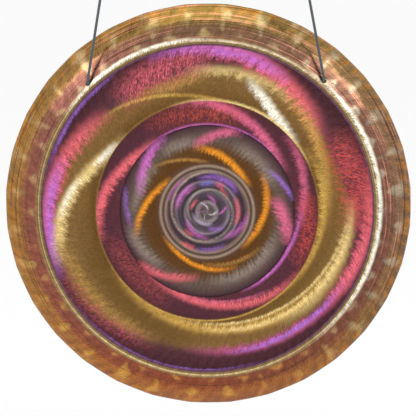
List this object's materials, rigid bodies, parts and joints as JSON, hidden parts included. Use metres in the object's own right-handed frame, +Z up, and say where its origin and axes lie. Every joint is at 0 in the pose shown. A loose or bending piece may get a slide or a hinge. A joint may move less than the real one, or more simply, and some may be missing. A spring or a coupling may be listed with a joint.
{
  "type": "tam tam gong",
  "caption": "Flat-faced bronze tam tam with a hammered, swept-back rim, hanging by two knotted cords from screw-on steel hooks.",
  "frame": {"origin": "the hanging point: midway between the top faces of the two hook plates, in the plane that the gong hangs in", "axes": "+X to the viewer's right, +Y away from the viewer and out of the gong's back, +Z up"},
  "size_m": [0.8, 0.0674, 0.9249],
  "materials": {
    "bronze_plate": "lathe-brushed bronze with a violet, rose and gold heat patina",
    "braided_cord": "tightly braided synthetic cord, dark grey",
    "black_rubber": "moulded, matt black",
    "plated_steel": "bright zinc plating"
  },
  "bodies": {
    "hooks": {"left_hook": "plated_steel", "right_hook": "plated_steel"},
    "cords": {"left_cord_lead": "braided_cord", "left_cord_loop": "braided_cord", "left_top_knot": "braided_cord", "right_cord_lead": "braided_cord", "right_cord_loop": "braided_cord", "right_top_knot": "braided_cord"},
    "gong": {"gong_plate": "bronze_plate", "left_hole_bush": "black_rubber", "left_cord_tail": "braided_cord", "left_stopper_knot": "braided_cord", "right_hole_bush": "black_rubber", "right_cord_tail": "braided_cord", "right_stopper_knot": "braided_cord"}
  },
  "joints": [
    {"name": "cords_swing", "type": "hinge", "parent": "hooks", "child": "cords", "pos_m": [0, 0, -0.0378], "axis": [1, 0, 0], "range_deg": [-25, 25]},
    {"name": "gong_tilt", "type": "hinge", "parent": "cords", "child": "gong", "pos_m": [0, 0, -0.27193], "axis": [1, 0, 0], "range_deg": [-20, 12]}
  ]
}
